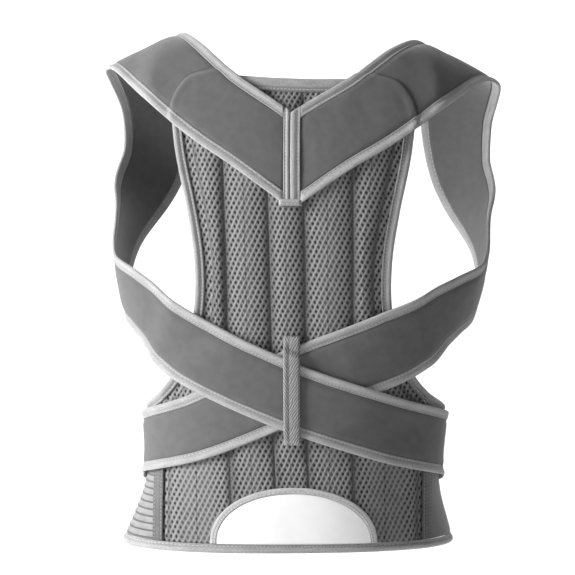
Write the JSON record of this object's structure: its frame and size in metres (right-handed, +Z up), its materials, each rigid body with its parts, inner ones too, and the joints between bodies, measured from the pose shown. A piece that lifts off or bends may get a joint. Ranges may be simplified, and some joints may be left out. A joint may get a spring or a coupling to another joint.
{
  "type": "posture corrector",
  "caption": "Back brace with a padded mesh back panel, shoulder straps that cross over the back, and an elastic waist belt, in its worn form.",
  "frame": {"origin": "centre of the waist inside the belt, level with the belt's lower rim, where the torso holds it", "axes": "+Z up along the spine, +Y forwards from the back panel to the chest, +X to the right as seen from behind"},
  "size_m": [0.3873, 0.2502, 0.4908],
  "materials": {
    "mesh_cloth": "matt spacer mesh",
    "smooth_cloth": "matt brushed knit on foam",
    "tape": "matt woven binding tape",
    "webbing": "matt woven elastic webbing",
    "ribbed_elastic": "matt ribbed elastic",
    "patch_cloth": "plain white, smooth"
  },
  "bodies": {
    "root": {"back_panel": "mesh_cloth", "belt_rim_binding": "tape", "belt_wing_left": "ribbed_elastic", "belt_wing_right": "smooth_cloth", "cross_strap_left": "smooth_cloth", "cross_strap_left_lower_binding": "tape", "cross_strap_left_upper_binding": "tape", "cross_strap_right": "smooth_cloth", "cross_strap_right_lower_binding": "tape", "cross_strap_right_upper_binding": "tape", "keeper_loop": "webbing", "lumbar_patch": "patch_cloth", "lumbar_patch_binding": "tape", "neckline_binding": "tape", "panel_binding_left": "tape", "panel_binding_right": "tape", "shoulder_strap_left": "smooth_cloth", "shoulder_strap_left_inner_binding": "tape", "shoulder_strap_left_outer_binding": "tape", "shoulder_strap_right": "smooth_cloth", "shoulder_strap_right_inner_binding": "tape", "shoulder_strap_right_outer_binding": "tape", "v_binding_left": "tape", "v_binding_right": "tape", "wing_binding_left": "tape", "wing_binding_right": "tape", "wing_seam_left": "tape", "wing_seam_right": "tape"}
  },
  "joints": []
}
